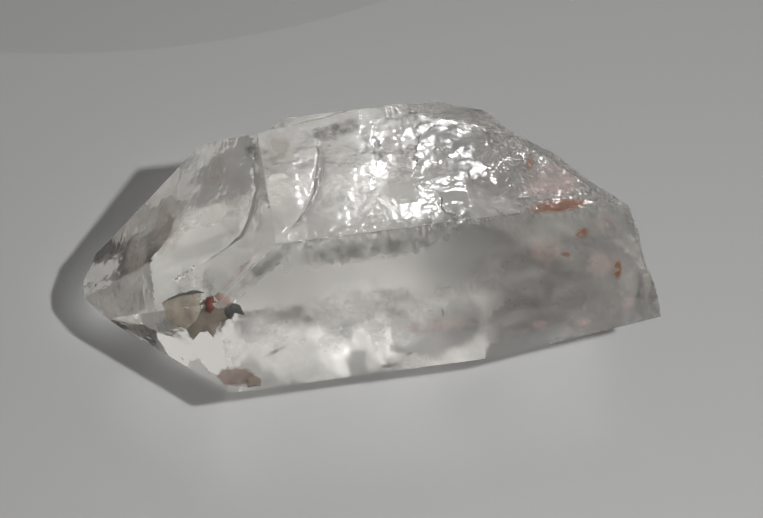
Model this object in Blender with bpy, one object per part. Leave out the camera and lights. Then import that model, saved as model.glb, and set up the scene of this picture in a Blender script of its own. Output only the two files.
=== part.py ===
"""Quartz point: one natural crystal of quartz, lying on a side face and broken across its base.

The crystal is modelled along its own long axis, with its tip at the origin and +X running down
the axis into the body. It is then placed so that its rest face is on z = 0 and the middle of its
length is over the origin. Metres, +Z up.

Quartz always grows with the same angles: six side faces parallel to the long axis, 60 degrees
apart, and six tip faces that each lean over one side face. Only the distances of the faces from
the axis differ from one crystal to the next, so those are the driving dimensions.
"""

import math
import random

import bmesh
import bpy
from mathutils import Matrix, Vector, noise

# ---- driving dimensions ----
LENGTH = 0.0655            # worn tip to the far corner of the broken base
BLOCK_END = 0.0710         # how far the unbroken body runs from the tip
AXIS_HEIGHT = 0.0132       # long axis above the rest face
AXIS_SIDE = 0.00026        # long axis beside the middle of the width

# Faces go round the axis in steps of 60 degrees: top, front upper, front lower, bottom,
# back lower, back upper.
FACE_STEP = 60.0
SIDE_FACES = (0.0178, 0.0161, 0.0141, AXIS_HEIGHT, 0.0145, 0.0148)
TOP, FRONT_UPPER, FRONT_LOWER, BOTTOM, BACK_LOWER, BACK_UPPER = range(6)
SIDE_SLOPE = 90.0          # angle between a face's normal and the tip direction
TIP_SLOPE = 51.79
# How far each tip face stands out from a plane through the tip. Three pass through it.
TIP_FACES = (0.0001, 0.0031, 0.00135, 0.0012, 0.0, 0.0016)
TIP_WEAR = 0.0005          # length worn off the very tip
TIP_CHIP = ((0.0009, -0.0020, 0.0005), 220.0, -25.0)   # point, turn and rise of a small chip

# A thick growth layer on the back upper face, which starts part-way along.
LEDGE_RISE = 0.0014
LEDGE_DROP = 0.0003        # how far its top edge stays below the top face
LEDGE_ROOT = 0.0050        # how far its hidden faces stay inside the crystal
LEDGE_START = 0.0262
LEDGE_START_TURN = 66.0

# The front lower side tapers in towards the broken base.
TAPER_START = 0.0475
TAPER_TURN = 6.5

# The break follows these planes: a point on the plane, and the turn and rise of its normal.
END = ((0.0637, -0.0113, 0.0124), 0.0, 17.0)
END_FOOT = ((0.0662, -0.0155, 0.0045), 2.0, -7.0)
SHOULDER = ((0.0566, -0.0002, 0.0155), 40.0, 12.0)
SHOULDER_BEVEL = ((0.0512, 0.0023, 0.0178), 40.0, 43.0)
CORNER = ((0.0460, 0.0091, 0.0155), 69.0, 15.0)
CORNER_BEVEL = ((0.0446, 0.0052, 0.0178), 69.0, 58.0)
BACK = ((0.0570, 0.0120, 0.0020), 24.0, -14.0)
BREAK_PLANES = (END, END_FOOT, SHOULDER, SHOULDER_BEVEL, CORNER, CORNER_BEVEL, BACK)
BREAK_CELL = 0.0011        # spacing of the break's facets
BREAK_ROUGH = 0.00042
BREAK_SPAN = 0.0560
BREAK_CENTRE = (0.0580, 0.0, 0.0020)
BREAK_OUTWARD = (0.86, 0.42, 0.24)
# Shell-shaped hollows of the break: place, radius, depth.
SHELLS = (
    ((0.0515, 0.0040, 0.0150), 0.0050, 0.0010),
    ((0.0560, 0.0030, 0.0050), 0.0085, 0.0009),
    ((0.0640, -0.0080, 0.0000), 0.0090, 0.0008),
    ((0.0600, 0.0060, -0.0070), 0.0085, 0.0010),
)
RIPPLE_LENGTH = 0.0017
RIPPLE_HEIGHT = 0.00016

# Thin growth plates: face, slope, rise above it, and outline as (along the axis, across the face).
PLATES = (
    (TOP, SIDE_SLOPE, 0.00022, ((36.0, -0.8), (37.8, -0.3), (39.4, -1.4), (39.2, -3.2),
                                (38.5, -5.1), (36.7, -5.0), (35.4, -3.6))),
    (TOP, SIDE_SLOPE, 0.00030, ((39.9, -2.6), (39.8, 0.4), (40.6, 3.2), (42.2, 4.5), (44.6, 4.3),
                                (46.0, 2.7), (45.8, -0.5), (44.6, -2.6), (42.4, -3.3))),
    (TOP, SIDE_SLOPE, 0.00020, ((41.5, -4.7), (43.8, -4.6), (44.3, -6.4), (43.9, -7.6),
                                (42.3, -7.7), (41.2, -6.4))),
    (TOP, SIDE_SLOPE, 0.00026, ((45.2, -3.6), (46.6, -2.8), (48.4, -3.4), (48.9, -5.6),
                                (48.1, -7.5), (46.0, -7.6), (45.4, -5.8))),
    (FRONT_UPPER, SIDE_SLOPE, 0.00015, ((46.0, -6.2), (46.4, 3.4), (52.5, 4.2), (53.4, 0.5),
                                        (57.0, -1.0), (56.0, -5.6))),
    (FRONT_LOWER, SIDE_SLOPE, 0.00030, ((20.0, -5.0), (19.2, 2.0), (24.0, 5.6), (33.0, 5.0),
                                        (36.5, 0.0), (31.0, -5.4))),
    (BACK_LOWER, SIDE_SLOPE, 0.00035, ((22.0, -5.6), (21.0, 1.5), (27.0, 5.8), (38.0, 4.6),
                                       (41.0, -2.0), (34.0, -6.0))),
    (BACK_UPPER, SIDE_SLOPE, 0.00025, ((17.5, -5.0), (17.0, 1.5), (20.5, 4.0), (22.8, -1.0),
                                       (21.5, -5.2))),
    (FRONT_LOWER, TIP_SLOPE, 0.00022, ((8.0, -2.6), (11.0, -4.0), (16.0, -4.4), (17.5, -1.0),
                                       (14.5, 1.6), (10.0, 1.0))),
    (BACK_UPPER, TIP_SLOPE, 0.00045, ((12.5, -1.6), (12.0, 1.4), (15.0, 3.2), (19.5, 4.6),
                                      (20.8, 3.0), (20.4, -4.2), (17.0, -3.6))),
    (BACK_LOWER, TIP_SLOPE, 0.00028, ((7.0, -2.0), (10.0, -4.6), (16.0, -5.2), (19.5, -1.0),
                                      (16.0, 3.6), (9.5, 3.0))),
)
PLATE_ROOT = 0.00060       # how deep a plate reaches into the crystal

# Chips along the worn edges: from, to, how many, largest radius.
CHIP_RUNS = (
    ((0.0240, -0.0083, 0.0178), (0.0370, -0.0083, 0.0178), 7, 0.00062),
    ((0.0207, -0.0094, 0.0163), (0.0168, -0.0112, 0.0132), 4, 0.00075),
    ((0.0500, -0.0083, 0.0178), (0.0590, -0.0083, 0.0178), 4, 0.00080),
    ((0.0300, -0.0176, 0.0018), (0.0560, -0.0171, 0.0028), 5, 0.00055),
    ((0.0230, 0.0169, 0.0002), (0.0420, 0.0169, 0.0002), 4, 0.00070),
)
CHIP_FLATNESS = 0.55
# Etch pits on the front upper face, just below the ridge: (along, across) in the face.
PITS = ((24.6, 7.4), (26.2, 6.1), (28.3, 7.6), (30.4, 6.6), (33.0, 7.8), (36.4, 7.2))
PIT_RADIUS = 0.00070

MM = 0.001
SEED = 7


def face_normal(face, slope):
    """Outward normal of a crystal face; the tip points to -X and face 0 is the top."""
    turn = math.radians(face * FACE_STEP)
    lean = math.radians(slope)
    across = math.sin(lean)
    return Vector((-math.cos(lean), -across * math.sin(turn), across * math.cos(turn)))


def turned_normal(turn, rise):
    """Normal turned from +X towards +Y, and raised towards +Z, in degrees."""
    turn, rise = math.radians(turn), math.radians(rise)
    level = math.cos(rise)
    return Vector((level * math.cos(turn), level * math.sin(turn), math.sin(rise)))


def face_frame(face, slope, offset):
    """Frame on a face: X runs along the crystal, Y across the face, Z is the outward normal."""
    normal = face_normal(face, slope)
    along = (Vector((1, 0, 0)) - normal * normal.x).normalized()
    across = normal.cross(along)
    frame = Matrix((along, across, normal)).transposed().to_4x4()
    frame.translation = normal * offset
    return frame


def cleave(bm, point, normal):
    """Cut a convex solid with a plane, drop what is outside and close the cut."""
    geometry = bm.verts[:] + bm.edges[:] + bm.faces[:]
    cut = bmesh.ops.bisect_plane(bm, geom=geometry, plane_co=point, plane_no=normal,
                                 clear_outer=True)
    edges = [item for item in cut["geom_cut"] if isinstance(item, bmesh.types.BMEdge)]
    bmesh.ops.holes_fill(bm, edges=edges, sides=0)


def add_object(name, bm, collection):
    """Turn a bmesh into an object in the crystal's frame."""
    bmesh.ops.recalc_face_normals(bm, faces=bm.faces[:])
    mesh = bpy.data.meshes.new(name)
    bm.to_mesh(mesh)
    bm.free()
    item = bpy.data.objects.new(name, mesh)
    item.location = (-TIP_WEAR - LENGTH / 2, AXIS_SIDE, AXIS_HEIGHT)
    collection.objects.link(item)
    return item


def add_helper(name, bm, collection):
    """A solid that only joins or cuts the crystal."""
    item = add_object(name, bm, collection)
    item.hide_render = True
    item.display_type = "WIRE"
    return item


def grown_body(side_faces, tip_faces):
    """A block cleaved by the side faces and the tip faces."""
    bm = bmesh.new()
    bmesh.ops.create_cube(bm, size=1.0)
    bmesh.ops.scale(bm, verts=bm.verts, vec=(2 * BLOCK_END, LENGTH, LENGTH))
    for face, offset in enumerate(side_faces):
        normal = face_normal(face, SIDE_SLOPE)
        cleave(bm, normal * offset, normal)
    for face, offset in enumerate(tip_faces):
        normal = face_normal(face, TIP_SLOPE)
        cleave(bm, normal * offset, normal)
    return bm


def taper(bm):
    """The front lower side leans in towards the base."""
    frame = face_frame(FRONT_LOWER, SIDE_SLOPE, SIDE_FACES[FRONT_LOWER])
    turn = Matrix.Rotation(math.radians(-TAPER_TURN), 3, frame.col[1].to_3d())
    normal = turn.inverted() @ frame.col[2].to_3d()
    cleave(bm, frame @ Vector((TAPER_START, 0, 0)), normal)


def make_crystal(collection):
    """The whole crystal before its break."""
    bm = grown_body(SIDE_FACES, TIP_FACES)
    cleave(bm, Vector((TIP_WEAR, 0, 0)), Vector((-1, 0, 0)))
    point, turn, rise = TIP_CHIP
    cleave(bm, Vector(point), turned_normal(turn, rise))
    taper(bm)
    return add_object("quartz_crystal", bm, collection)


def make_ledge(collection):
    """The growth layer on the back upper face, its near end cut off obliquely."""
    sides = list(SIDE_FACES)
    sides[BACK_UPPER] += LEDGE_RISE
    sides[TOP] -= LEDGE_DROP
    for face in (FRONT_UPPER, FRONT_LOWER, BOTTOM, BACK_LOWER):
        sides[face] -= LEDGE_ROOT
    bm = grown_body(sides, [offset - LEDGE_DROP for offset in TIP_FACES])
    edge = Vector((LEDGE_START, 0.0083, 0.0175))
    cleave(bm, edge, turned_normal(180.0 - LEDGE_START_TURN, 0.0))
    return add_helper("back_ledge", bm, collection)


def make_plate(collection, index, face, slope, rise, outline):
    """A thin growth plate: a ragged outline on a face, raised a little above it."""
    offset = SIDE_FACES[face] if slope == SIDE_SLOPE else TIP_FACES[face]
    bm = bmesh.new()
    bmesh.ops.create_circle(bm, cap_ends=True, segments=len(outline), radius=1.0)
    bm.verts.ensure_lookup_table()
    for vert, (along, across) in zip(bm.verts, outline):
        vert.co = Vector((along * MM, across * MM, -PLATE_ROOT))
    grown = bmesh.ops.extrude_face_region(bm, geom=bm.faces[:])
    top = [item for item in grown["geom"] if isinstance(item, bmesh.types.BMVert)]
    bmesh.ops.translate(bm, verts=top, vec=(0, 0, PLATE_ROOT + rise))
    bm.transform(face_frame(face, slope, offset))
    return add_helper(f"growth_plate_{index}", bm, collection)


def break_height(foot, outward, planes):
    """Distance from a foot point, along the outward direction, to the break's surface."""
    height = min((point - foot).dot(normal) / outward.dot(normal) for point, normal in planes)
    place = foot + outward * height
    for centre, radius, depth in SHELLS:
        reach = (place - Vector(centre)).length / radius
        if reach < 1.0:
            ripple = RIPPLE_HEIGHT * math.sin(reach * radius / RIPPLE_LENGTH * math.tau)
            height -= (depth + ripple) * (1.0 - reach * reach)
    rough = noise.fractal(place / (BREAK_CELL * 4), 0.8, 2.1, 3)
    return height + BREAK_ROUGH * rough


def make_break(collection):
    """A block whose near side has the form of the break; it cuts the base off the crystal."""
    outward = Vector(BREAK_OUTWARD).normalized()
    side = Vector((0, 0, 1)).cross(outward).normalized()
    up = outward.cross(side)
    centre = Vector(BREAK_CENTRE)
    planes = [(Vector(point), turned_normal(turn, rise)) for point, turn, rise in BREAK_PLANES]
    cells = round(BREAK_SPAN / BREAK_CELL)
    bm = bmesh.new()
    bmesh.ops.create_grid(bm, x_segments=cells, y_segments=cells, size=BREAK_SPAN / 2)
    for vert in bm.verts:
        foot = centre + side * vert.co.x + up * vert.co.y
        vert.co = foot + outward * break_height(foot, outward, planes)
    grown = bmesh.ops.extrude_face_region(bm, geom=bm.faces[:])
    far = [item for item in grown["geom"] if isinstance(item, bmesh.types.BMVert)]
    for vert in far:
        vert.co += outward * (LENGTH - (vert.co - centre).dot(outward))
    return add_helper("break_block", bm, collection)


def make_chips(collection):
    """Small hollows along the worn edges and on the etched zone under the ridge."""
    chance = random.Random(SEED)
    bm = bmesh.new()
    for start, end, count, radius in CHIP_RUNS:
        for index in range(count):
            share = (index + chance.uniform(0.25, 0.75)) / count
            place = Vector(start).lerp(Vector(end), share)
            size = radius * chance.uniform(0.6, 1.0)
            turn = Matrix.Rotation(chance.uniform(0.0, math.pi), 4, "X")
            flat = Matrix.Diagonal((1.4, 1.0, CHIP_FLATNESS, 1.0))
            matrix = Matrix.Translation(place) @ turn @ flat
            bmesh.ops.create_icosphere(bm, subdivisions=1, radius=size, matrix=matrix)
    face = face_frame(FRONT_UPPER, SIDE_SLOPE, SIDE_FACES[FRONT_UPPER])
    for along, across in PITS:
        place = face @ Vector((along * MM, across * MM, PIT_RADIUS * 0.25))
        matrix = Matrix.Translation(place) @ face.to_3x3().to_4x4()
        matrix = matrix @ Matrix.Diagonal((1.5, 1.0, CHIP_FLATNESS, 1.0))
        bmesh.ops.create_icosphere(bm, subdivisions=1, radius=PIT_RADIUS, matrix=matrix)
    return add_helper("edge_chips", bm, collection)


def combine(crystal, helper, operation):
    """Join a helper solid to the crystal, or cut the crystal with it."""
    boolean = crystal.modifiers.new(helper.name, "BOOLEAN")
    boolean.object = helper
    boolean.operation = operation
    boolean.solver = "EXACT"


def quartz_material():
    """Clear, faintly grey quartz."""
    material = bpy.data.materials.new("quartz")
    material.use_nodes = True
    surface = material.node_tree.nodes["Principled BSDF"]
    surface.inputs["Base Color"].default_value = (0.80, 0.79, 0.77, 1.0)
    surface.inputs["Roughness"].default_value = 0.08
    surface.inputs["Metallic"].default_value = 0.0
    surface.inputs["Transmission Weight"].default_value = 1.0
    surface.inputs["IOR"].default_value = 1.544
    return material


def main():
    for item in list(bpy.data.objects):
        bpy.data.objects.remove(item, do_unlink=True)
    parts = bpy.data.collections.new("quartz_point")
    helpers = bpy.data.collections.new("helpers")
    bpy.context.scene.collection.children.link(parts)
    bpy.context.scene.collection.children.link(helpers)

    crystal = make_crystal(parts)
    crystal.data.materials.append(quartz_material())
    combine(crystal, make_ledge(helpers), "UNION")
    for index, plate in enumerate(PLATES, start=1):
        combine(crystal, make_plate(helpers, index, *plate), "UNION")
    combine(crystal, make_break(helpers), "DIFFERENCE")
    combine(crystal, make_chips(helpers), "DIFFERENCE")


main()
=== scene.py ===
# %% [markdown]
# # A quartz point, lying on its side
# A quartz point is a six-sided crystal that ends in a faceted tip. This one lies on a side face,
# and its other end is a rough break. The lesson grows the crystal from the rules that real quartz
# follows, roughens it with growth steps, and fills it with the veils, flakes and rust films that
# make a natural crystal look natural.

# %% Load the frame
import math

import bmesh
import bpy
import numpy as np
from mathutils import Matrix, Vector, noise


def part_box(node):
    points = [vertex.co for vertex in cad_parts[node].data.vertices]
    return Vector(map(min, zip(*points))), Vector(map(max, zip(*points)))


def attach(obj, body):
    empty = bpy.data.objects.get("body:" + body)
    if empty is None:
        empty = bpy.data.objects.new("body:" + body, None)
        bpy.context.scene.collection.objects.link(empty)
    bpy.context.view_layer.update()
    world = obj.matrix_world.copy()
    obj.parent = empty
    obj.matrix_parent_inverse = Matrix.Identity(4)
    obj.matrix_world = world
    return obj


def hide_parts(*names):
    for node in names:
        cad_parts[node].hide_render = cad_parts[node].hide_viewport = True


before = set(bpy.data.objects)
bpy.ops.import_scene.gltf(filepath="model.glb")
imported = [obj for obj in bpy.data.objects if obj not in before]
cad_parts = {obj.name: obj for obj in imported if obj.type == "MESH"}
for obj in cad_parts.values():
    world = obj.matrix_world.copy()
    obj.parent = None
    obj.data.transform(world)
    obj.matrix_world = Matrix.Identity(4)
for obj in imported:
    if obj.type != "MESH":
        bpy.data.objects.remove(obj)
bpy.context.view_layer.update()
NODE = "quartz_crystal"
low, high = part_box(NODE)
MM = 0.001
print("crystal box, mm:", [round((b - a) / MM, 1) for a, b in zip(low, high)])

# %% [markdown]
# ## The camera
# The camera looks down on the crystal at 58 degrees, from in front and slightly towards the tip.
# Its place is worked out from these angles and a distance, so each number can be read on its own.

# %% Camera
AXIS_HEIGHT = 13.2          # mm, the crystal's long axis above the floor
VIEW_RISE, VIEW_TURN, VIEW_ROLL = 58.0, -12.2, 3.0
VIEW_DISTANCE = 260.0
VIEW_TARGET = (2.65, -0.84, AXIS_HEIGHT)
FOCAL_PIXELS = 2178.0
FRAME_WIDTH = 763.0
SENSOR = 36.0


def view_axes(rise, turn, roll):
    """Right, up and backward directions of a camera."""
    rise, turn, roll = (math.radians(angle) for angle in (rise, turn, roll))
    back = Vector((math.sin(turn) * math.cos(rise), -math.cos(turn) * math.cos(rise),
                   math.sin(rise)))
    right = Vector((math.cos(turn), math.sin(turn), 0.0))
    up = back.cross(right)
    rolled = right * math.cos(roll) + up * math.sin(roll)
    return rolled, back.cross(rolled), back


def make_camera():
    right, up, back = view_axes(VIEW_RISE, VIEW_TURN, VIEW_ROLL)
    data = bpy.data.cameras.new("camera")
    data.sensor_width = SENSOR
    data.lens = FOCAL_PIXELS / FRAME_WIDTH * SENSOR
    data.clip_start = 0.01
    camera = bpy.data.objects.new("camera", data)
    turn = Matrix((right, up, back)).transposed().to_4x4()
    turn.translation = (Vector(VIEW_TARGET) + back * VIEW_DISTANCE) * MM
    camera.matrix_world = turn
    bpy.context.scene.collection.objects.link(camera)
    bpy.context.scene.camera = camera
    return camera


camera = make_camera()
print("lens, mm:", round(camera.data.lens, 1))

# %% [markdown]
# ## The rule that quartz follows
# Every quartz crystal has the same angles. Six side faces run along its length, 60 degrees apart,
# and six tip faces lean over them at 51.8 degrees from the long axis. Only the distances differ.
# A slice across the crystal is therefore always a six-sided figure with fixed directions, and at
# each place along the length a side's distance is the smaller of two: that of the side face, or
# that of the tip face above it. Stacking slices gives the whole crystal with its edges exact.

# %% Face distances, in mm from the long axis
SIDES = np.array((17.8, 16.1, 14.1, AXIS_HEIGHT, 14.5, 14.8))
TIPS = np.array((0.1, 3.1, 1.35, 1.2, 0.0, 1.6))
TIP_SLOPE = math.radians(51.79)
TIP_WEAR = 0.5
TAPER_START, TAPER_SLOPE = 47.5, math.tan(math.radians(6.5))
FRONT_LOWER, BACK_UPPER = 2, 5
ORIGIN = np.array((low[0] / MM - TIP_WEAR, 0.26, AXIS_HEIGHT))
TURNS = np.radians(60.0 * np.arange(6))
NORMALS = np.stack((np.zeros(6), -np.sin(TURNS), np.cos(TURNS)), axis=1)


def reaches(x):
    """Distance of the six sides from the axis, x mm along from the tip; x may be an array."""
    x = np.asarray(x, dtype=float)[..., None]
    reach = np.minimum(SIDES, (TIPS + x * math.cos(TIP_SLOPE)) / math.sin(TIP_SLOPE))
    reach[..., FRONT_LOWER] -= np.maximum(0.0, x[..., 0] - TAPER_START) * TAPER_SLOPE
    for side in range(6):
        both = reach[..., side - 1] + reach[..., (side + 1) % 6]
        reach[..., side] = np.minimum(reach[..., side], both)
    return reach


def corners(reach):
    """Where each side meets the next one, in the slice."""
    nxt = np.roll(reach, -1, axis=-1)
    along_near = ((reach - 0.5 * nxt) / 0.75)[..., None]
    along_far = ((nxt - 0.5 * reach) / 0.75)[..., None]
    return along_near * NORMALS + along_far * np.roll(NORMALS, -1, axis=0)


print("slice at 30 mm:", np.round(reaches(30.0), 1))

# %% [markdown]
# ## The break
# Quartz has no cleavage, so it breaks in curved, shell-shaped surfaces. The broken base follows a
# few large planes, with shallow round hollows in them, ripples that spread inside each hollow, and
# a fine roughness. All of it is one function: how far along the crystal the break lies, for a
# place in the slice.

# %% Break surface
BREAK_PLANES = (
    ((63.7, -11.3, 12.4), 0.0, 17.0),
    ((66.2, -15.5, 4.5), 2.0, -7.0),
    ((56.6, -0.2, 15.5), 40.0, 12.0),
    ((51.2, 2.3, 17.8), 40.0, 43.0),
    ((46.0, 9.1, 15.5), 69.0, 15.0),
    ((44.6, 5.2, 17.8), 69.0, 58.0),
    ((57.0, 12.0, 2.0), 24.0, -14.0),
)
SHELLS = (
    ((51.5, 4.0, 15.0), 5.0, 1.0),
    ((56.0, 3.0, 5.0), 8.5, 0.9),
    ((64.0, -8.0, 0.0), 9.0, 0.8),
    ((60.0, 6.0, -7.0), 8.5, 1.0),
)
RIPPLE_LENGTH, RIPPLE_HEIGHT = 1.3, 0.10
BREAK_ROUGH = 0.35


def plane_normal(turn, rise):
    turn, rise = math.radians(turn), math.radians(rise)
    level = math.cos(rise)
    return np.array((level * math.cos(turn), level * math.sin(turn), math.sin(rise)))


BREAK_NORMALS = [(point, plane_normal(turn, rise)) for point, turn, rise in BREAK_PLANES]


def break_at(y, z):
    """How far along the crystal the break lies, in mm from the tip."""
    x = min(point[0] - (normal[1] * (y - point[1]) + normal[2] * (z - point[2])) / normal[0]
            for point, normal in BREAK_NORMALS)
    for centre, radius, depth in SHELLS:
        gap = math.dist((x, y, z), centre) / radius
        if gap < 1.0:
            ripple = RIPPLE_HEIGHT * math.sin(gap * radius / RIPPLE_LENGTH * math.tau)
            x -= (depth + ripple) * (1.0 - gap * gap)
    place = Vector((x, y, z))
    return x + BREAK_ROUGH * noise.fractal(place / 4.4, 0.8, 2.1, 5)


print("break at the axis, mm:", round(break_at(0.0, 0.0), 1))

# %% [markdown]
# ## Stacking the slices
# Each slice is walked round side by side, with the same number of points on every slice. A slice
# is set wherever a tip face ends, so every edge of the crystal falls on a row of points. Near the
# base the rows are stretched to end on the break, and rings that shrink to a middle point close
# it. The back upper face carries a thick growth layer that starts on a slant, so two of its
# points make the narrow shelf under the top face.

# %% Slices
SLICE_STEP = 0.17
STRETCH_FROM = 40.0
STRETCH_ROWS = 130
SIDE_COUNTS = (92, 52, 16, 12, 14, 26)      # points on each side, most on those that catch light
CAP_RINGS = 56
LEDGE_RISE, LEDGE_DROP = 1.4, 0.3
LEDGE_EDGE, LEDGE_WAY = (26.2, 8.3), (-0.407, 0.914)
POINT_SIDE = np.repeat(np.arange(6), SIDE_COUNTS)
POINT_SHARE = np.concatenate([np.arange(count) / count for count in SIDE_COUNTS])
SHELF = sum(SIDE_COUNTS) - 2


def ledge_height(x, y):
    """Thickness of the growth layer on the back upper face."""
    gap = (x - LEDGE_EDGE[0]) * LEDGE_WAY[0] + (y - LEDGE_EDGE[1]) * LEDGE_WAY[1]
    return np.clip(-gap / (LEDGE_WAY[1] * NORMALS[BACK_UPPER][1]), 0.0, LEDGE_RISE)


def slice_points(x):
    """Points round a slice; x holds one place for each point, so a row may be slanted."""
    ends = corners(reaches(x))
    index = np.arange(len(POINT_SIDE))
    start, end = ends[index, POINT_SIDE - 1], ends[index, POINT_SIDE]
    share = POINT_SHARE.copy()
    step = (start[SHELF] - end[SHELF])
    share[SHELF:] = 1.0 - LEDGE_DROP / max(abs(step[2]), LEDGE_DROP)
    points = start + (end - start) * share[:, None]
    points[:, 0] = x
    return lift_ledge(points)


def lift_ledge(points):
    """Raise the back upper side by the growth layer."""
    upper, lower = NORMALS[BACK_UPPER], NORMALS[BACK_UPPER - 1]
    height = ledge_height(points[:, 0], points[:, 1])
    first = sum(SIDE_COUNTS[:5])
    points[first] += (upper - 0.5 * lower) / 0.75 * height[first]
    points[first + 1:SHELF] += upper * height[first + 1:SHELF, None]
    points[SHELF, 1] += height[SHELF] / upper[1]
    return points


def stations():
    """Where the slices lie: an even spacing, with the ends of the tip faces among them."""
    places = np.arange(TIP_WEAR, STRETCH_FROM, SLICE_STEP)
    ends = list((SIDES * math.sin(TIP_SLOPE) - TIPS) / math.cos(TIP_SLOPE))
    meetings = [(TIPS[1] - TIPS[0] - TIPS[2]) / math.cos(TIP_SLOPE),
                (TIPS[5] - TIPS[0] - TIPS[4]) / math.cos(TIP_SLOPE)]
    for end in ends + meetings:
        places[np.argmin(abs(places - end))] = end
    return np.sort(places)


def crystal_rows():
    """Rows of points from the tip to the break, then rings across the break."""
    count = len(POINT_SIDE)
    rows = [slice_points(np.full(count, x)) for x in stations()]
    last = np.full(count, 60.0)
    for _ in range(8):
        points = slice_points(last)
        last = np.array([break_at(y, z) for _, y, z in points])
    for row in range(STRETCH_ROWS + 1):
        rows.append(slice_points(STRETCH_FROM + (last - STRETCH_FROM) * row / STRETCH_ROWS))
    rim = rows[-1]
    middle = rim.mean(axis=0)
    for ring in range(1, CAP_RINGS):
        points = middle + (rim - middle) * (1.0 - ring / CAP_RINGS)
        points[:, 0] = [break_at(y, z) for _, y, z in points]
        rows.append(points)
    middle[0] = break_at(middle[1], middle[2])
    return np.array(rows), middle


rows, middle = crystal_rows()
print("rows:", len(rows), "points in each:", rows.shape[1])

# %% [markdown]
# ## Growth plates, steps and the worn tip
# Some marks are single events in the life of the crystal, so they are listed one by one. Thin growth
# plates with ragged borders lie on the top face, each tilted by a degree or two. Two curved steps
# cross the upper tip face. The very tip is chipped. They are made by moving the points of the
# slices, because there are enough points here to draw them.

# %% Marks, in mm from the tip
PLATES = (  # border, centre, rise, slope along x, slope along y
    (((36.0, -0.7), (37.9, -0.4), (39.6, -1.2), (39.4, -3.1), (38.6, -5.2), (36.8, -5.0),
      (35.5, -3.7)), 0.10, 0.045, -0.030),
    (((38.8, -2.2), (39.6, 0.4), (40.3, 3.1), (42.0, 4.6), (44.9, 4.6), (46.3, 2.9),
      (46.0, -0.5), (45.0, -2.8), (42.2, -3.4)), 0.14, -0.020, 0.055),
    (((41.4, -4.6), (43.2, -4.5), (44.8, -5.1), (44.5, -7.8), (42.5, -8.0), (41.3, -6.6)),
     0.12, -0.035, -0.045),
    (((44.2, -3.7), (46.4, -2.7), (48.2, -3.3), (47.4, -8.0), (45.3, -8.2), (44.5, -6.5)),
     0.08, 0.085, 0.040),
    (((48.2, -3.3), (50.2, -2.4), (52.3, -5.0), (52.0, -8.4), (47.4, -8.2)), 0.05, -0.05, 0.03),
    (((46.3, 2.9), (47.0, 4.2), (48.4, 2.8), (49.8, 1.0), (47.6, -1.6), (46.0, -0.5)),
     0.16, 0.09, -0.05),
)
STEPS = (  # path on the tip face or the top face, height
    (((21.6, 4.6), (21.4, 3.2), (21.2, -0.1), (20.0, -2.7), (18.8, -4.6), (17.0, -5.1),
      (12.9, -5.5)), 0.22),
    (((29.0, 5.6), (28.9, 3.4), (28.0, -0.6), (27.0, -3.1), (25.2, -5.6), (23.6, -6.9)), 0.16),
)
CHIP_PLACE, CHIP_TURN, CHIP_RISE = (0.9, -2.0, 0.5), 220.0, -25.0
RAGGED = 0.35


def inside(places, border):
    """True for the places (x, y) that lie inside a border."""
    found = np.zeros(len(places), dtype=bool)
    x, y = places.T
    for (x0, y0), (x1, y1) in zip(border, border[1:] + border[:1]):
        crosses = (y0 > y) != (y1 > y)
        at = x0 + (y - y0) * (x1 - x0) / ((y1 - y0) or 1e-9)
        found ^= crosses & (x < at)
    return found


def path_distance(places, path):
    """Distance of each place from a path, positive on its left."""
    best = np.full(len(places), 1e3)
    for start, end in zip(np.array(path[:-1]), np.array(path[1:])):
        way = end - start
        share = np.clip((places - start) @ way / (way @ way), 0.0, 1.0)
        off = places - start - share[:, None] * way
        side = np.sign(way[0] * off[:, 1] - way[1] * off[:, 0])
        size = np.linalg.norm(off, axis=1)
        best = np.where(size < abs(best), size * np.where(side == 0, 1, side), best)
    return best


def fade(value, start, end):
    """0 before start, 1 after end, smooth between; start may be above end."""
    share = np.clip((value - start) / (end - start), 0.0, 1.0)
    return share * share * (3.0 - 2.0 * share)


def jitter(points, size, seed):
    """A small random shift of each place (x, y), the same for places close together."""
    apart = Vector((0.0, 40.0, 0.0))
    spots = [Vector(point) * size + Vector((seed, 0.0, 0.0)) for point in points]
    return np.array([(noise.noise(spot), noise.noise(spot + apart)) for spot in spots])


def mark_faces(rows):
    """Raise plates and steps on the top and upper tip face, and chip the tip."""
    points = rows.reshape(-1, 3)
    upper = np.tile(np.isin(np.arange(rows.shape[1]), np.arange(SIDE_COUNTS[0])), len(rows))
    upper &= np.arange(len(points)) < len(points) - CAP_RINGS * rows.shape[1]
    where = np.flatnonzero(upper)
    places = points[where][:, :2] + RAGGED * jitter(points[where], 1.1, 5.0)
    lift = np.zeros(len(where))
    for border, rise, slope_x, slope_y in PLATES:
        found = inside(places, border)
        centre = np.array(border).mean(axis=0)
        slanted = (places - centre) @ (slope_x, slope_y)
        lift[found] = (rise + slanted)[found]
    for path, height in STEPS:
        gap = path_distance(places, path)
        lift -= height * fade(gap, -0.18, 0.12) * fade(gap, 4.0, 0.3)
    flat = points[where][:, 2] > SIDES[0] - 0.02
    out = np.where(flat[:, None], NORMALS[0], TIP_NORMAL)
    points[where] += out * lift[:, None]
    normal = plane_normal(CHIP_TURN, CHIP_RISE)
    depth = np.maximum(0.0, (points - CHIP_PLACE) @ normal)
    points -= depth[:, None] * normal
    return rows


TIP_NORMAL = np.array((-math.cos(TIP_SLOPE), 0.0, math.sin(TIP_SLOPE)))
rows = mark_faces(rows)
print("plates:", len(PLATES), "steps:", len(STEPS))

# %% [markdown]
# ## Where the surface is plated, chipped, etched or broken
# The fine relief and the shine are not the same everywhere. Masks are painted on the points, one
# for each kind of surface, so that the relief and the material can both read them.

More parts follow.
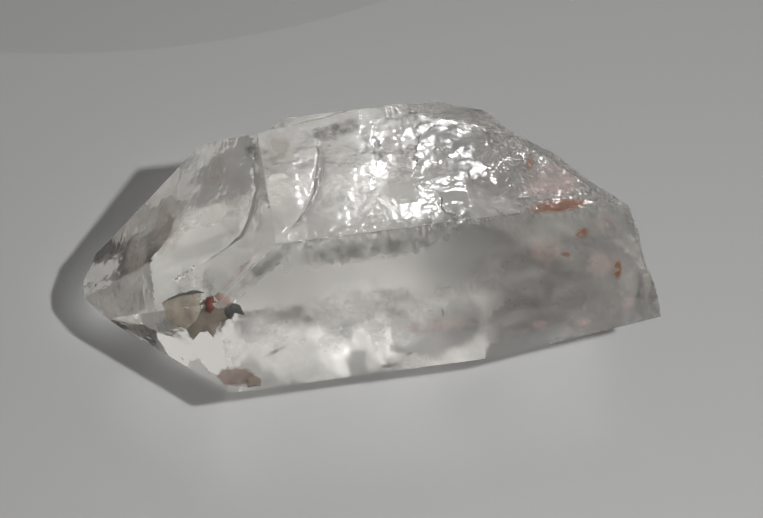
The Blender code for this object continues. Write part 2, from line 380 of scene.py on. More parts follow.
# %% Masks
RIDGE_Y, RIDGE_Z = -8.3, 17.8
TIP_EDGE_START, TIP_EDGE_END = np.array((22.5, -8.3, 17.8)), np.array((15.4, -11.5, 12.3))


def segment_distance(points, start, end):
    way = end - start
    share = np.clip((points - start) @ way / (way @ way), 0.0, 1.0)
    return np.linalg.norm(points - start - share[:, None] * way, axis=1)


def surface_masks(points, side, broken):
    x, y, z = points.T
    ridge = np.hypot(y - RIDGE_Y, z - RIDGE_Z)
    top = fade(z, RIDGE_Z - 0.45, RIDGE_Z - 0.1)
    chips = top * fade(x, 47.0, 50.5) * fade(y, -9.0, -5.5)
    chips = np.maximum(chips, fade(ridge, 1.3, 0.2) * fade(x, 23.0, 25.0))
    etch = fade(ridge, 4.6, 0.8) * fade(z, RIDGE_Z, RIDGE_Z - 0.5)
    etch = etch * fade(x, 22.0, 24.5) * fade(x, 46.0, 33.0)
    edge = fade(segment_distance(points, TIP_EDGE_START, TIP_EDGE_END), 2.2, 0.5)
    front = np.where(side == 1, 1.0, 0.0) * fade(x, 15.0, 20.0)
    return {
        "top": top * (1.0 - broken),
        "plates": np.maximum(top * fade(x, 24.0, 38.0), 0.35) * (1.0 - broken),
        "chips": np.maximum(chips, 0.6 * broken),
        "etch": np.maximum(etch, edge * (side == 1)),
        "front": front * (1.0 - broken),
        "broken": broken,
    }


def crystal_mesh(rows, middle):
    """Quads between the rows, a face at the tip and a fan at the middle of the break."""
    points = np.vstack((rows.reshape(-1, 3), middle))
    count = rows.shape[1]
    side = np.append(np.tile(POINT_SIDE, len(rows)), 9)
    broken = np.zeros(len(points))
    broken[-1 - CAP_RINGS * count:] = 1.0
    masks = surface_masks(points, side, broken)
    bm = bmesh.new()
    layers = {name: bm.verts.layers.float.new(name) for name in masks}
    verts = [bm.verts.new(Vector((point + ORIGIN) * MM)) for point in points]
    for name, mask in masks.items():
        for vert, value in zip(verts, mask):
            vert[layers[name]] = value
    for row in range(len(rows) - 1):
        for index in range(count):
            nxt = (index + 1) % count
            near, far = row * count, (row + 1) * count
            bm.faces.new((verts[near + index], verts[near + nxt], verts[far + nxt],
                          verts[far + index]))
    bm.faces.new(verts[count - 1::-1])
    last = (len(rows) - 1) * count
    for index in range(count):
        bm.faces.new((verts[last + index], verts[last + (index + 1) % count], verts[-1]))
    bmesh.ops.remove_doubles(bm, verts=bm.verts, dist=0.01 * MM)
    bmesh.ops.dissolve_degenerate(bm, dist=0.005 * MM, edges=bm.edges)
    bmesh.ops.holes_fill(bm, edges=[edge for edge in bm.edges if edge.is_boundary])
    bmesh.ops.recalc_face_normals(bm, faces=bm.faces)
    mesh = bpy.data.meshes.new("crystal")
    bm.to_mesh(mesh)
    print("faces:", len(bm.faces), "open edges:", sum(not edge.is_manifold for edge in bm.edges))
    bm.free()
    return mesh


def add_object(name, mesh):
    item = bpy.data.objects.new(name, mesh)
    bpy.context.scene.collection.objects.link(item)
    return item


crystal = add_object("crystal", crystal_mesh(rows, middle))

# %% [markdown]
# ## A helper for node trees
# Geometry trees and material trees are both made of nodes and links. This small helper adds a
# node, sets its options and joins its inputs in one line, so that the trees below stay short.

# %% Node helper
class Wiring:
    """Adds and joins nodes in one tree."""

    def __init__(self, tree):
        self.tree = tree

    def feed(self, socket, value):
        if isinstance(value, bpy.types.NodeSocket):
            self.tree.links.new(value, socket)
        else:
            socket.default_value = value

    def add(self, kind, inputs=None, **options):
        node = self.tree.nodes.new(kind)
        for name, value in options.items():
            setattr(node, name, value)
        for name, value in (inputs or {}).items():
            self.feed(node.inputs[name], value)
        return node

    def math(self, operation, *values):
        node = self.add("ShaderNodeMath", dict(enumerate(values)), operation=operation)
        return node.outputs[0]

    def vector(self, operation, *values):
        node = self.add("ShaderNodeVectorMath", operation=operation)
        vectors = [socket for socket in node.inputs if socket.type == "VECTOR"]
        plain = [socket for socket in node.inputs if socket.type == "VALUE"]
        for index, value in enumerate(values):
            single = operation == "SCALE" and index == 1
            self.feed(plain[0] if single else vectors[index], value)
        scalar = operation in ("DOT_PRODUCT", "LENGTH", "DISTANCE")
        return node.outputs["Value" if scalar else "Vector"]

    def ramp(self, value, low, high, start=0.0, end=1.0):
        """Smooth step from start to end as the value goes from low to high."""
        node = self.add("ShaderNodeMapRange", {"Value": value}, interpolation_type="SMOOTHSTEP")
        for name, number in (("From Min", low), ("From Max", high), ("To Min", start),
                             ("To Max", end)):
            self.feed(node.inputs[name], number)
        return node.outputs["Result"]

    def noise(self, place, scale, detail=3.0, rough=0.55, shift=0.0):
        """Noise from about 0 to 1 on a place in millimetres."""
        node = self.add("ShaderNodeTexNoise", {"Vector": place, "W": shift, "Scale": scale,
                                               "Detail": detail, "Roughness": rough},
                        noise_dimensions="4D")
        return node.outputs["Fac"]


def new_tree(name, kind, inputs, outputs):
    """An empty node group with named inputs and outputs, and its two end nodes."""
    tree = bpy.data.node_groups.new(name, kind)
    for label, socket_type, value in inputs:
        socket = tree.interface.new_socket(label, in_out="INPUT", socket_type=socket_type)
        if value is not None:
            socket.default_value = value
    for label, socket_type in outputs:
        tree.interface.new_socket(label, in_out="OUTPUT", socket_type=socket_type)
    return Wiring(tree), tree.nodes.new("NodeGroupInput"), tree.nodes.new("NodeGroupOutput")


FLOAT, GEOMETRY, MATERIAL = "NodeSocketFloat", "NodeSocketGeometry", "NodeSocketMaterial"
print("node helper ready")

# %% [markdown]
# ## Clear quartz
# Quartz is clear and bends light by 1.544. A plain glass shader with a little absorption gives
# that. Its roughness follows the painted masks: the etched and broken parts are dull, the tip
# faces are bright. Lamps are small here, so a share of their light is let straight through the
# faces, more of it to the inside than to the floor below, as the real crystal gathers it.

# %% Quartz material
QUARTZ_IOR = 1.544
LAMP_IN, LAMP_OUT = 0.08, 0.75     # part of the lamps' light let through, from each side


def mask_of(wire, name):
    return wire.add("ShaderNodeAttribute", attribute_name=name).outputs["Fac"]


def object_place(wire):
    """The place on the piece, in millimetres."""
    return wire.vector("SCALE", wire.add("ShaderNodeTexCoord").outputs["Object"], 1.0 / MM)


def new_material(name):
    material = bpy.data.materials.new(name)
    material.use_nodes = True
    material.node_tree.nodes.clear()
    wire = Wiring(material.node_tree)
    shader = wire.add("ShaderNodeBsdfPrincipled")
    output = wire.add("ShaderNodeOutputMaterial", {"Surface": shader.outputs[0]})
    return material, wire, shader, output


def clear_quartz():
    material, wire, shader, output = new_material("clear_quartz")
    place = object_place(wire)
    rough = wire.math("MULTIPLY", mask_of(wire, "front"), 0.14)
    rough = wire.math("ADD", rough, wire.math("MULTIPLY", mask_of(wire, "top"), 0.07))
    rough = wire.math("ADD", rough, wire.math("MULTIPLY", mask_of(wire, "etch"), 0.25))
    rough = wire.math("ADD", rough, wire.math("MULTIPLY", mask_of(wire, "broken"), 0.2))
    cloud = wire.noise(place, 0.35, 5.0, 0.6)
    rough = wire.math("ADD", rough, wire.ramp(cloud, 0.35, 0.7, 0.03, 0.12))
    shader.inputs["Base Color"].default_value = (0.97, 0.968, 0.96, 1.0)
    wire.feed(shader.inputs["Roughness"], rough)
    shader.inputs["IOR"].default_value = QUARTZ_IOR
    shader.inputs["Transmission Weight"].default_value = 1.0
    lamp = wire.add("ShaderNodeLightPath").outputs["Is Shadow Ray"]
    inner = wire.add("ShaderNodeNewGeometry").outputs["Backfacing"]
    share = wire.ramp(inner, 0.0, 1.0, LAMP_IN, LAMP_OUT)
    clear = wire.add("ShaderNodeBsdfTransparent", {"Color": share})
    surface = wire.add("ShaderNodeMixShader", {"Fac": lamp})
    wire.tree.links.new(shader.outputs[0], surface.inputs[1])
    wire.tree.links.new(clear.outputs[0], surface.inputs[2])
    wire.tree.links.new(surface.outputs[0], output.inputs["Surface"])
    volume = wire.add("ShaderNodeVolumeAbsorption", {"Color": (0.80, 0.78, 0.75, 1.0),
                                                     "Density": 22.0})
    wire.tree.links.new(volume.outputs[0], output.inputs["Volume"])
    return material


QUARTZ = clear_quartz()
print("material:", QUARTZ.name)

# %% [markdown]
# ## Growth relief
# A crystal face grows in thin layers, so it is never a perfect plane. Three things show: fine
# lines across the side faces, terraces with ragged borders, and plates that are each tilted by
# a fraction of a degree, so that each one shines in its own direction. A rule like this suits
# Geometry Nodes: the tree reads the masks, adds up the heights and moves each point out along
# its normal.

# %% Relief tree
def cell_relief(wire, place, size, tilt, rise, ragged_size):
    """Heights of small plates: each cell has its own lean and its own level."""
    ragged = wire.add("ShaderNodeTexNoise", {"Vector": place, "Scale": ragged_size, "Detail": 4.0})
    bend = wire.vector("SUBTRACT", ragged.outputs["Color"], (0.5, 0.5, 0.5))
    bent = wire.vector("ADD", place, wire.vector("SCALE", bend, wire.math("MULTIPLY", size, 0.6)))
    cells = wire.add("ShaderNodeTexVoronoi", {
        "Vector": bent, "Scale": wire.math("DIVIDE", 1.0, size)})
    way = wire.vector("SUBTRACT", cells.outputs["Color"], (0.5, 0.5, 0.5))
    lean = wire.vector("DOT_PRODUCT", wire.vector("SUBTRACT", place, cells.outputs["Position"]),
                       way)
    level = wire.vector("DOT_PRODUCT", cells.outputs["Color"], (0.6, 0.4, 0.0))
    return wire.math("ADD", wire.math("MULTIPLY", lean, tilt), wire.math("MULTIPLY", level, rise))


def relief_tree():
    wire, given, result = new_tree("growth_relief", "GeometryNodeTree", (
        ("Geometry", GEOMETRY, None), ("Line Height", FLOAT, 0.014), ("Line Length", FLOAT, 0.4),
        ("Terrace Step", FLOAT, 0.012), ("Terrace Size", FLOAT, 9.0),
        ("Plate Rise", FLOAT, 0.035), ("Plate Size", FLOAT, 4.5), ("Plate Tilt", FLOAT, 0.018),
        ("Chip Rise", FLOAT, 0.12), ("Chip Size", FLOAT, 0.95), ("Chip Tilt", FLOAT, 0.35),
        ("Etch Depth", FLOAT, 0.14), ("Material", MATERIAL, None),
    ), (("Geometry", GEOMETRY),))
    value = given.outputs
    place = wire.vector("SCALE", wire.add("GeometryNodeInputPosition").outputs[0], 1.0 / MM)
    masks = {name: wire.add("GeometryNodeInputNamedAttribute", {"Name": name},
                            data_type="FLOAT").outputs[0]
             for name in ("plates", "chips", "etch", "broken", "top")}
    grown = wire.math("SUBTRACT", 1.0, masks["broken"])

    along = wire.math("DIVIDE", 1.0, value["Line Length"])
    stretch = wire.add("ShaderNodeCombineXYZ", {"X": along, "Y": 0.09, "Z": 0.09}).outputs[0]
    lines = wire.noise(wire.vector("MULTIPLY", place, stretch), 1.0, 4.0, 0.62)
    lines = wire.math("MULTIPLY", wire.math("SUBTRACT", lines, 0.5), value["Line Height"])
    lines = wire.math("MULTIPLY", lines, wire.ramp(masks["top"], 0.0, 1.0, 0.35, 1.0))

    size = wire.math("DIVIDE", 1.0, value["Terrace Size"])
    terrace = wire.math("MULTIPLY", wire.noise(place, size, 4.0, 0.5, 3.7), 0.4)
    terrace = wire.math("SUBTRACT", wire.math("SNAP", terrace, value["Terrace Step"]), 0.2)

    plates = cell_relief(wire, place, value["Plate Size"], value["Plate Tilt"],
                         value["Plate Rise"], 0.9)
    plates = wire.math("MULTIPLY", plates, masks["plates"])
    chips = cell_relief(wire, place, value["Chip Size"], value["Chip Tilt"],
                        value["Chip Rise"], 1.7)
    chips = wire.math("MULTIPLY", wire.math("SUBTRACT", chips, 0.1), masks["chips"])

    pits = wire.noise(place, 1.3, 3.0, 0.6, 9.1)
    pits = wire.math("MULTIPLY", wire.ramp(pits, 0.42, 0.62), masks["etch"])
    pits = wire.math("MULTIPLY", pits, value["Etch Depth"])

    height = wire.math("MULTIPLY", wire.math("ADD", lines, terrace), grown)
    height = wire.math("ADD", height, wire.math("ADD", plates, chips))
    height = wire.math("SUBTRACT", height, pits)
    normal = wire.add("GeometryNodeInputNormal").outputs[0]
    offset = wire.vector("SCALE", normal, wire.math("MULTIPLY", height, MM))
    moved = wire.add("GeometryNodeSetPosition", {"Geometry": value["Geometry"], "Offset": offset})
    solid = wire.add("GeometryNodeRealizeInstances", {"Geometry": moved.outputs[0]})
    finished = wire.add("GeometryNodeSetMaterial", {"Geometry": solid.outputs[0],
                                                    "Material": value["Material"]})
    wire.tree.links.new(finished.outputs[0], result.inputs["Geometry"])
    return wire.tree


RELIEF = relief_tree()
print("relief inputs:", [item.name for item in RELIEF.interface.items_tree])

# %% [markdown]
# ## Running the relief
# The tree runs on the stacked slices, and the result is kept as a plain mesh. Only then does the
# crystal get its shading and its body, and the CAD part is hidden. Edges sharper than 28 degrees stay
# crisp.

# %% Crystal with relief
CRISP_ANGLE = 28.0



def run_tree(item, tree, **values):
    """Run a geometry tree on an object, keep the result as a plain mesh and drop the modifier."""
    modifier = item.modifiers.new(tree.name, "NODES")
    modifier.node_group = tree
    for socket in tree.interface.items_tree:
        name = socket.name.replace(" ", "_").lower()
        if socket.in_out == "INPUT" and name in values:
            modifier[socket.identifier] = values[name]
    view = bpy.context.evaluated_depsgraph_get()
    mesh = bpy.data.meshes.new_from_object(item.evaluated_get(view))
    item.modifiers.remove(modifier)
    old, item.data = item.data, mesh
    bpy.data.meshes.remove(old)
    mesh.name = item.name


run_tree(crystal, RELIEF, material=QUARTZ)
crystal.data.shade_smooth()
crystal.data.set_sharp_from_angle(angle=math.radians(CRISP_ANGLE))
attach(crystal, "root")
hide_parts(NODE)
print("crystal triangles:", sum(len(face.vertices) - 2 for face in crystal.data.polygons))

# %% [markdown]
# ## What lies inside
# A natural crystal is full of small things: milky veils, which are healed cracks full of bubbles,
# smoky patches, films of iron rust that crept in along cracks from the broken end, and scraps of
# other minerals. Each is a thin wavy patch under the surface. Its border is ragged, and its
# material is only partly there, by an alpha of clouds that fade out towards the border.

# %% Thin patches
TOP, FRONT = NORMALS[0], NORMALS[1]
FRONT_TIP = np.array((TIP_NORMAL[0], *(NORMALS[1][1:] * TIP_NORMAL[2])))
ALONG = (1.0, 0.0, 0.0)


def oval(half_length, half_width, count=36):
    return [(half_length * math.cos(turn), half_width * math.sin(turn))
            for turn in np.linspace(0.0, math.tau, count, endpoint=False)]


def resampled(border, spacing):
    """The border with points about spacing apart."""
    points = []
    for start, end in zip(border, border[1:] + border[:1]):
        steps = max(1, round(math.dist(start, end) / spacing))
        points += [tuple(np.array(start) + (np.array(end) - start) * step / steps)
                   for step in range(steps)]
    return points


def add_patch(bm, border, centre, out, along, swell=0.0, wave=0.15, ragged=0.18, rings=8):
    """A patch of rings round its middle; with a swell it is a closed flake."""
    out = Vector(out).normalized()
    along = (Vector(along) - out * Vector(along).dot(out)).normalized()
    across = out.cross(along)
    middle = np.array(border).mean(axis=0)
    rim = bm.verts.layers.float["rim"]
    sides = (1, -1) if swell else (1,)
    edge = None
    for side in sides:
        previous = None
        for ring in range(rings + 1):
            share = 1.0 - ring / rings
            current = []
            for spot in (border if share else border[:1]):
                flat = middle + (np.array(spot) - middle) * share
                place = Vector(centre) + along * flat[0] + across * flat[1]
                rough = noise.noise(place * 1.3 + Vector((3.0, 0.0, 0.0)))
                flat = middle + (flat - middle) * (1.0 + ragged * rough)
                height = side * swell * (1.0 - share * share) + wave * noise.noise(place * 0.45)
                place = Vector(centre) + along * flat[0] + across * flat[1] + out * height
                vert = bm.verts.new((place + Vector(ORIGIN)) * MM)
                vert[rim] = 1.0 - share
                current.append(vert)
            if ring == 0 and side == -1:
                for vert in current:
                    bm.verts.remove(vert)
                current = edge
            if ring == 0:
                edge = current
            if previous:
                join_rings(bm, previous, current, side)
            previous = current


def join_rings(bm, outer, inner, side):
    for index in range(len(outer)):
        nxt = (index + 1) % len(outer)
        if len(inner) == 1:
            face = [outer[index], outer[nxt], inner[0]]
        else:
            face = [outer[index], outer[nxt], inner[nxt], inner[index]]
        bm.faces.new(face if side == 1 else face[::-1])


def finish_piece(name, bm, material):
    """Make a mesh piece of the crystal and give it its finish."""
    mesh = bpy.data.meshes.new(name)
    bm.to_mesh(mesh)
    bm.free()
    mesh.shade_smooth()
    piece = add_object(name, mesh)
    mesh.materials.append(material)
    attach(piece, "root")
    print(name, "faces:", len(mesh.polygons))
    return piece


def patch_piece(name, marks, material, **shape):
    """One piece made of several oval patches."""
    bm = bmesh.new()
    bm.verts.layers.float.new("rim")
    for centre, out, along, half_length, half_width in marks:
        spacing = max(0.15, half_width / 6)
        border = resampled(oval(half_length, half_width), spacing)
        add_patch(bm, border, centre, out, along, **shape)
    return finish_piece(name, bm, material)


# %% [markdown]
# ## Clouds
# All the patches share one effect: a cloud that fades out towards the border. It is a node group
# that puts out a mask, and each material feeds the mask to its own alpha, with its own values.

# %% Cloud group and patch materials
def cloud_group():
    """A mask of soft clouds that fade out towards the border of a patch."""
    wire, given, result = new_tree("cloud_mask", "ShaderNodeTree", (
        ("Scale", FLOAT, 0.5), ("Low", FLOAT, 0.4), ("High", FLOAT, 0.7), ("Rim", FLOAT, 0.5),
        ("Strength", FLOAT, 0.5), ("Stretch", FLOAT, 1.0),
    ), (("Mask", FLOAT),))
    value = given.outputs
    place = object_place(wire)
    stretch = wire.add("ShaderNodeCombineXYZ", {"X": value["Stretch"], "Y": 1.0, "Z": 1.0})
    place = wire.vector("MULTIPLY", place, stretch.outputs[0])
    cloud = wire.ramp(wire.noise(place, value["Scale"], 6.0, 0.6), value["Low"], value["High"])
    rim = wire.ramp(mask_of(wire, "rim"), 0.0, value["Rim"])
    mask = wire.math("MULTIPLY", wire.math("MULTIPLY", cloud, rim), value["Strength"])
    wire.tree.links.new(mask, result.inputs["Mask"])
    return wire.tree


CLOUDS = cloud_group()


def patch_material(name, colour, dark, rough=0.6, scale=0.5, low=0.35, high=0.65, rim=0.6,
                   strength=0.5, stretch=1.0):
    """A film that is partly there: its alpha is a cloud mask, its colour varies a little."""
    material, wire, shader, output = new_material(name)
    place = object_place(wire)
    group = wire.add("ShaderNodeGroup", node_tree=CLOUDS)
    values = {"Scale": scale, "Low": low, "High": high, "Rim": rim, "Strength": strength,
              "Stretch": stretch}
    for label, value in values.items():
        group.inputs[label].default_value = value
    tone = wire.add("ShaderNodeMix", {"Factor": wire.noise(place, 1.1, 4.0)}, data_type="RGBA")
    colour_mix = [socket for socket in tone.inputs if socket.type == "RGBA"]
    colour_mix[0].default_value = (*colour, 1.0)
    colour_mix[1].default_value = (*dark, 1.0)
    result = [socket for socket in tone.outputs if socket.type == "RGBA"][0]
    wire.feed(shader.inputs["Base Color"], result)
    shader.inputs["Roughness"].default_value = rough
    wire.feed(shader.inputs["Alpha"], group.outputs["Mask"])
    return material


# %% [markdown]
# ## Veils, smoke, rust and painted shade
# Each list below is one kind of patch. A patch is given by its middle, the face it lies under,
# its long direction and its half sizes. The milky veils fill the front, the smoke darkens the
# broken half, and rust and pink films lie near the break, where water could creep in. The dark
# sheets are mostly painted shade: the large ones darken the top face, the band under the ridge and
# the tip edge, where the faces reflect dark surroundings, and the small thin ones are dark specks.

# %% Veils, smoke and rust
VEILS = (  # middle, facing, long direction, half length, half width
    ((31.0, -10.6, 6.0), FRONT, ALONG, 8.5, 4.8),
    ((22.0, -11.0, 4.5), FRONT, ALONG, 6.0, 3.6),
    ((15.0, -6.0, 5.0), FRONT_TIP, (0.8, -0.6, 0.0), 5.0, 3.8),
    ((31.0, -2.5, 14.5), TOP, ALONG, 6.5, 4.0),
    ((21.8, -1.5, 12.8), TIP_NORMAL, (0.5, 1.0, 0.4), 4.5, 2.4),
    ((40.0, -10.5, 4.0), FRONT, ALONG, 5.5, 3.0),
    ((32.0, -13.2, 4.0), FRONT, ALONG, 9.0, 3.0),
)
SMOKE = (
    ((53.0, -9.0, 7.5), FRONT, ALONG, 10.5, 5.6),
    ((52.0, -12.2, 4.0), FRONT, ALONG, 11.0, 4.6),
    ((50.0, -1.0, 12.0), TOP, ALONG, 7.0, 6.0),
)
TAUPE = (
    ((12.0, 3.2, 7.0), TIP_NORMAL, (0.3, 1.0, 0.2), 5.5, 3.6),
    ((17.8, 5.6, 12.6), TIP_NORMAL, (0.25, 1.0, 0.2), 3.6, 1.6),
    ((24.9, 5.6, 15.6), TOP, (0.4, -1.0, 0.0), 2.6, 1.7),
    ((8.0, 1.0, 3.5), TIP_NORMAL, (0.3, 1.0, 0.2), 4.0, 2.0),
)
# Painted shade and dark specks: the large sheets under the top face, under the ridge and along the tip
# edge paint the dark that the faces reflect; the small thin ones are dark specks.
SHADE_AND_SPECKS = (
    ((31.2, 6.2, 17.0), TOP, (1.0, 0.15, 0.0), 4.6, 1.5),
    ((35.3, 3.4, 17.0), TOP, (0.5, -1.0, 0.0), 3.6, 1.3),
    ((21.8, 5.4, 16.4), TIP_NORMAL, (0.4, -1.0, 0.0), 2.2, 1.2),
    ((32.0, -9.1, 15.6), FRONT, ALONG, 9.5, 1.7),
    ((20.8, -9.4, 15.1), FRONT, (-0.85, -0.25, -0.5), 4.6, 1.1),
    ((21.2, -14.5, 5.3), FRONT, (1.0, 0.2, 0.35), 2.1, 0.32),
    ((36.5, -16.0, 3.2), FRONT, (1.0, 0.2, 0.35), 0.9, 0.22),
    ((34.1, -16.7, 2.2), FRONT, ALONG, 1.3, 0.35),
    ((40.6, -13.6, 7.5), FRONT, (0.15, -0.5, -0.9), 0.9, 0.16),
    ((52.1, -12.5, 9.4), FRONT, (0.0, -0.5, -0.9), 0.5, 0.18),
)
RUST = (
    ((54.4, -7.8, 17.4), TOP, ALONG, 4.3, 1.0),
    ((52.4, -1.4, 17.2), TOP, (0.3, 1.0, 0.0), 1.6, 0.5),
    ((56.9, -9.6, 14.2), FRONT, ALONG, 1.1, 0.8),
    ((61.0, -12.2, 9.6), FRONT, (0.0, -0.5, -0.9), 1.7, 0.7),
    ((55.0, -11.0, 12.2), FRONT, (1.0, -0.3, -0.4), 0.8, 0.4),
)
PINK = (
    ((54.2, -4.4, 17.0), TOP, ALONG, 4.4, 3.2),
    ((52.9, -9.8, 12.2), FRONT, ALONG, 2.3, 2.2),
    ((59.0, -11.2, 9.9), FRONT, ALONG, 1.9, 2.0),
    ((51.9, -15.0, 4.3), FRONT, ALONG, 1.1, 0.7),
    ((57.2, -15.2, 3.8), FRONT, ALONG, 1.1, 0.7),
    ((62.5, -13.8, 4.8), FRONT, ALONG, 0.9, 1.0),
    ((59.6, -8.8, 14.8), FRONT, ALONG, 1.3, 1.2),
    ((40.0, -13.0, 4.5), FRONT, ALONG, 4.5, 1.4),
    ((18.6, -8.6, 13.4), TIP_NORMAL, (-0.85, -0.35, -0.5), 4.2, 0.55),
)
patch_piece("milky_veils", VEILS, patch_material(
    "milky_veil", (0.66, 0.65, 0.63), (0.50, 0.49, 0.47), strength=0.65, scale=0.35), wave=1.2)
patch_piece("smoky_patches", SMOKE, patch_material(
    "smoky_patch", (0.12, 0.118, 0.11), (0.20, 0.185, 0.175), strength=0.75, low=0.15, high=0.5), wave=1.0)
patch_piece("taupe_veils", TAUPE, patch_material(
    "taupe_veil", (0.34, 0.29, 0.26), (0.22, 0.20, 0.18), strength=0.6, low=0.2, high=0.5))
# Painted shade: a dark film for the reflected dark zones, also used for the small dark specks.
patch_piece("dark_wisps", SHADE_AND_SPECKS, patch_material(
    "dark_wisp", (0.045, 0.045, 0.04), (0.10, 0.10, 0.085), strength=0.85, scale=0.7, low=0.3,
    high=0.6, rim=0.7))
patch_piece("rust_films", RUST, patch_material(
    "rust_film", (0.22, 0.085, 0.035), (0.08, 0.035, 0.02), strength=0.95, scale=0.8, low=0.25,
    high=0.5))
patch_piece("pink_films", PINK, patch_material(
    "pink_film", (0.40, 0.28, 0.265), (0.30, 0.22, 0.205), strength=0.6, scale=0.5, low=0.25))

# %% [markdown]
# ## Curved cracks with painted shade
# Two crack-shaped strips start at the steps on the upper tip face and dive into the crystal. Their
# dark colour is painted shade along the steps. They are strips: each follows its step along the top
# and leans as it goes down.

# %% Cracks
def hung_strip(bm, path, depth, lean, rows=10):
    """A strip hung from a path, leaning as it goes down and fading out at its ends."""
    rim = bm.verts.layers.float["rim"]
    spots = np.array(path)
    share = np.linspace(0.0, 1.0, 40)
    line = np.stack([np.interp(share, np.linspace(0.0, 1.0, len(spots)), axis)
                     for axis in spots.T], axis=1)
    previous = None
    for row in range(rows + 1):
        down = row / rows
        current = []
        for spot, along in zip(line, share):
            place = Vector(spot) + Vector(lean) * depth * down + Vector((0.0, 0.0, -0.25))
            place += Vector((0.35, 0.0, 0.0)) * noise.noise(place * 0.8)
            vert = bm.verts.new((place + Vector(ORIGIN)) * MM)
            vert[rim] = min(1.0, 4.0 * along, 4.0 * (1.0 - along)) * (1.0 - down)
            current.append(vert)
        if previous:
            for index in range(len(line) - 1):
                bm.faces.new((previous[index], previous[index + 1], current[index + 1],
                              current[index]))
        previous = current


SHADED_STEP_PATHS = (  # path, depth, lean
    (((21.5, 4.9, 16.9), (21.4, 3.2, 16.8), (21.2, -0.1, 16.7), (20.0, -2.7, 15.7),
      (18.8, -4.6, 14.8), (17.0, -5.1, 13.4), (12.9, -5.5, 10.1)), 2.2, (0.9, 0.3, -0.6)),
    (((29.0, 5.6, 17.8), (28.9, 3.4, 17.8), (28.0, -0.6, 17.8), (27.0, -3.1, 17.8),
      (25.2, -5.6, 17.8), (23.6, -6.9, 17.8)), 2.0, (0.9, 0.3, -0.6)),
)


def step_shade_piece(name, material):
    bm = bmesh.new()
    bm.verts.layers.float.new("rim")
    for path, depth, lean in SHADED_STEP_PATHS:
        hung_strip(bm, path, depth, lean)
    return finish_piece(name, bm, material)


# Painted shade: dark, crack-shaped strips along the two steps.
step_shade_piece("curved_cracks", patch_material(
    "crack_shade", (0.10, 0.097, 0.09), (0.20, 0.19, 0.175), strength=0.9, scale=0.6, low=0.1,
    high=0.4, rim=0.9))

# %% [markdown]
# ## Scraps of other minerals
# Near the tip lies a tan flake with a rusty spot and a dark, spiky head, and a smaller brown one
# lies low on the front. Each part is a closed flake, cut from a border drawn in millimetres on a
# plane parallel to the tip face above it.

# %% Mineral scraps
SCRAP_PLACE, SCRAP_ALONG = (13.8, -10.0, 7.7), (0.74, -0.67, 0.0)
LOBE = [(-5.0, -1.8), (-4.1, -0.1), (-3.0, 1.2), (-1.9, 2.3), (-0.4, 2.4), (0.3, 1.0),
        (0.5, -1.2), (0.2, -3.4), (-1.3, -2.7), (-3.4, -2.9), (-4.3, -2.3)]
BODY = [(0.0, 2.0), (1.5, 2.8), (3.0, 3.3), (3.8, 2.4), (2.6, 1.1), (2.3, -1.5), (1.4, -1.2),
        (0.5, -2.0), (-0.2, -3.7), (-1.1, -2.5), (-0.3, -0.4)]
SPOT = [(0.3, 2.9), (1.1, 3.5), (1.7, 2.8), (1.3, 1.7), (0.6, 1.6)]
BUMP = [(1.1, 3.4), (1.6, 4.3), (2.5, 4.3), (3.0, 3.7), (2.0, 3.1)]
HEAD = [(2.3, 3.0), (3.0, 3.9), (4.2, 4.2), (5.2, 3.4), (4.5, 3.1), (3.8, 3.0), (3.4, 1.7),
        (2.9, 1.9)]
ARC = [(-4.9, -1.4), (-3.7, 0.7), (-2.0, 2.5), (-0.2, 3.1), (-0.2, 2.9), (-1.9, 2.3),
       (-3.6, 0.5)]
LOW_PLACE = (16.7, -15.6, 2.9)
LOW_SCRAP = [(-2.6, 0.3), (-1.7, 1.2), (-0.2, 1.4), (1.2, 1.0), (2.1, 0.1), (2.4, -1.2),
             (0.1, -1.5), (-1.6, -1.1)]
LOW_DARK = [(0.9, -0.3), (2.0, -0.2), (2.6, -0.8), (2.4, -1.7), (1.0, -1.6)]


def scrap(name, border, lift, material, place=SCRAP_PLACE, out=FRONT_TIP, along=SCRAP_ALONG,
          swell=0.25, rings=8):
    bm = bmesh.new()
    bm.verts.layers.float.new("rim")
    centre = np.array(place) + np.array(out) * lift
    add_patch(bm, resampled(border, 0.22), centre, out, along, swell=swell, wave=0.5,
              ragged=0.12, rings=rings)
    return finish_piece(name, bm, material)


scrap("scrap_lobe", LOBE, 0.0, patch_material(
    "tan_flake", (0.42, 0.35, 0.25), (0.24, 0.20, 0.15), strength=0.55, low=0.15, high=0.5,
    rim=0.1, scale=0.8))
scrap("scrap_body", BODY, 0.15, patch_material(
    "grey_flake", (0.16, 0.13, 0.10), (0.32, 0.27, 0.21), strength=0.85, low=0.15, high=0.4,
    rim=0.1, scale=1.2))
scrap("scrap_spot", SPOT, 0.5, patch_material(
    "rusty_spot", (0.20, 0.035, 0.015), (0.09, 0.02, 0.01), strength=1.0, low=0.1, high=0.3,
    rim=0.1))
scrap("scrap_bump", BUMP, 0.4, patch_material(
    "pinkish_flake", (0.45, 0.32, 0.27), (0.30, 0.19, 0.16), strength=0.8, low=0.1, high=0.4,
    rim=0.1))
scrap("scrap_head", HEAD, 0.4, patch_material(
    "black_flake", (0.02, 0.022, 0.02), (0.13, 0.13, 0.12), strength=1.0, low=0.1, high=0.4,
    rim=0.1, scale=1.6))
scrap("scrap_arc", ARC, 0.3, bpy.data.materials["black_flake"], swell=0.05)
scrap("low_scrap", LOW_SCRAP, 0.0, patch_material(
    "brown_flake", (0.30, 0.22, 0.19), (0.16, 0.12, 0.10), strength=0.7, low=0.15, high=0.5,
    rim=0.3, scale=0.9), place=LOW_PLACE, out=FRONT, along=ALONG)
scrap("low_dark", LOW_DARK, 0.25, bpy.data.materials["grey_flake"], place=LOW_PLACE, out=FRONT,
      along=ALONG)

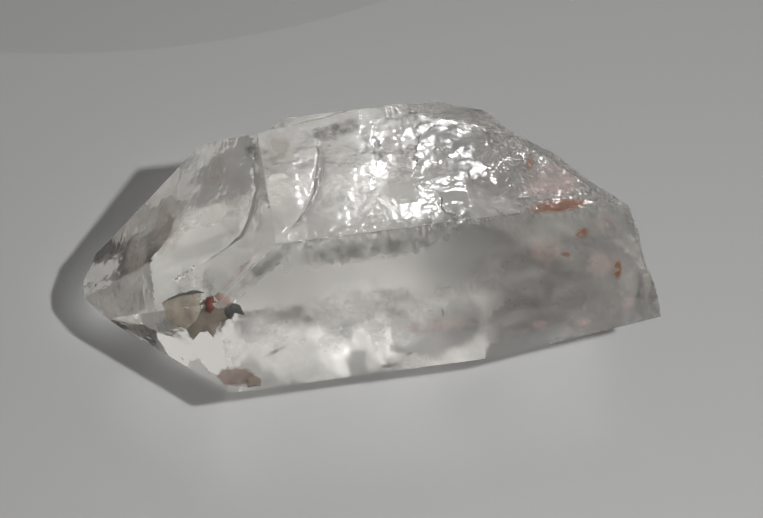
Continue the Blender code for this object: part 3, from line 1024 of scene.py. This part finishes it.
# %% [markdown]
# ## Floor and light
# The crystal lies on a plain pale floor. A small key lamp beside the camera gives the narrow
# dark shadow. A second lamp is mirrored by the top face: it makes the glare there and nothing
# else. The pale surroundings are what the clear crystal shows inside, and they hardly light the
# floor, so the shadow stays dark.

# %% Floor and light
FLOOR_SIZE = 0.9


def floor_mesh():
    mesh = bpy.data.meshes.new("floor")
    bm = bmesh.new()
    bmesh.ops.create_grid(bm, x_segments=1, y_segments=1, size=FLOOR_SIZE)
    bm.to_mesh(mesh)
    bm.free()
    return mesh


def floor_paint():
    material, wire, shader, output = new_material("floor_paint")
    shader.inputs["Base Color"].default_value = (0.5, 0.5, 0.49, 1.0)
    shader.inputs["Roughness"].default_value = 0.6
    return material


floor = add_object("floor", floor_mesh())
floor.data.materials.append(floor_paint())


def add_light(name, place, target, size, power):
    """A round soft light at place, aimed at target, both in mm."""
    data = bpy.data.lights.new(name, "AREA")
    data.shape = "DISK"
    data.size = size * MM
    data.energy = power
    item = bpy.data.objects.new(name, data)
    item.location = Vector(place) * MM
    way = Vector(place) - Vector(target)
    item.rotation_euler = way.to_track_quat("Z", "Y").to_euler()
    bpy.context.scene.collection.objects.link(item)
    return item


def toward(target, way, distance):
    return Vector(target) + Vector(way).normalized() * distance


KEY_TARGET, KEY_SIZE, KEY_POWER, KEY_FAR = (0.0, 0.0, 13.0), 10.0, 0.6, 300.0
GLARE_SIZE, GLARE_POWER, GLARE_FAR = 80.0, 0.8, 900.0
KEY_WAY, GLARE_WAY = (0.18, -0.46, 0.87), (0.14, 0.543, 0.828)
GLARE_SPOT = (25.0, -27.0, 31.0)
add_light("key", toward(KEY_TARGET, KEY_WAY, KEY_FAR), KEY_TARGET, KEY_SIZE, KEY_POWER)
glare = add_light("glare", toward(GLARE_SPOT, GLARE_WAY, GLARE_FAR), GLARE_SPOT, GLARE_SIZE,
                  GLARE_POWER)
glare.visible_transmission = False
glare.visible_diffuse = False


def soft_surroundings():
    """Pale surroundings seen in the crystal, while the floor gets only a little of their light."""
    world = bpy.data.worlds.new("studio")
    world.use_nodes = True
    world.node_tree.nodes.clear()
    wire = Wiring(world.node_tree)
    way = wire.add("ShaderNodeTexCoord").outputs["Generated"]
    up = wire.add("ShaderNodeSeparateXYZ", {"Vector": way}).outputs["Z"]
    level = wire.ramp(up, -0.1, 0.8, WORLD_LOW, WORLD_HIGH)
    bounces = wire.add("ShaderNodeLightPath").outputs["Diffuse Depth"]
    diffuse = wire.math("MINIMUM", bounces, 1.0)
    mix = wire.add("ShaderNodeMix", {"Factor": diffuse, "A": level, "B": WORLD_FLOOR})
    back = wire.add("ShaderNodeBackground", {"Color": (1.0, 0.99, 0.97, 1.0),
                                             "Strength": mix.outputs["Result"]})
    wire.add("ShaderNodeOutputWorld", {"Surface": back.outputs[0]})
    return world


WORLD_LOW, WORLD_HIGH, WORLD_FLOOR = 0.16, 0.74, 0.03
bpy.context.scene.world = soft_surroundings()
bpy.context.scene.view_settings.view_transform = "Standard"
bpy.context.scene.cycles.transparent_max_bounces = 24
